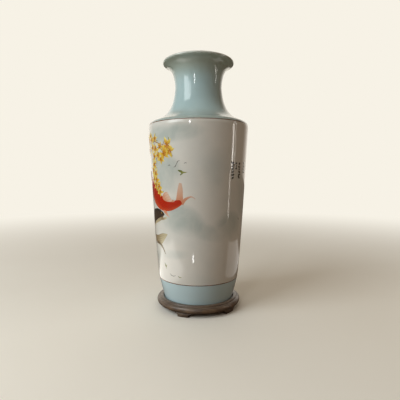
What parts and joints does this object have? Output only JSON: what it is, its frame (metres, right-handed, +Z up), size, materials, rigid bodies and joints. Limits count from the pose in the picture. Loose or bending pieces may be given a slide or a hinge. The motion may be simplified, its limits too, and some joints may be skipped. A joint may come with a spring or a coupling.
{
  "type": "porcelain vase on stand",
  "caption": "Tall shouldered porcelain vase with a waisted neck and flared lip, painted with fish and yellow blossom, on a fitted round hardwood stand with bracket feet.",
  "frame": {"origin": "on the vase's axis, on the plane that the undersides of the stand's feet rest on", "axes": "+Z up along the vase's axis, -Y towards the painted front, +X to the right seen from the front"},
  "size_m": [0.143, 0.143, 0.3518],
  "materials": {
    "glazed_porcelain": "gloss",
    "enamel_colours": "gloss",
    "dark_hardwood": "satin",
    "dowel_wood": "matte"
  },
  "bodies": {
    "stand": {"stand_ring": "dark_hardwood", "stand_floor_board": "dark_hardwood", "stand_foot_1": "dark_hardwood", "stand_foot_2": "dark_hardwood", "stand_foot_3": "dark_hardwood", "stand_foot_4": "dark_hardwood", "stand_foot_5": "dark_hardwood", "foot_dowel_1": "dowel_wood", "foot_dowel_2": "dowel_wood", "foot_dowel_3": "dowel_wood", "foot_dowel_4": "dowel_wood", "foot_dowel_5": "dowel_wood"},
    "vase": {"vase_body": "glazed_porcelain"}
  },
  "joints": [
    {"name": "vase_lift", "type": "slide", "parent": "stand", "child": "vase", "axis": [0, 0, 1], "range_m": [0, 0.06]}
  ]
}
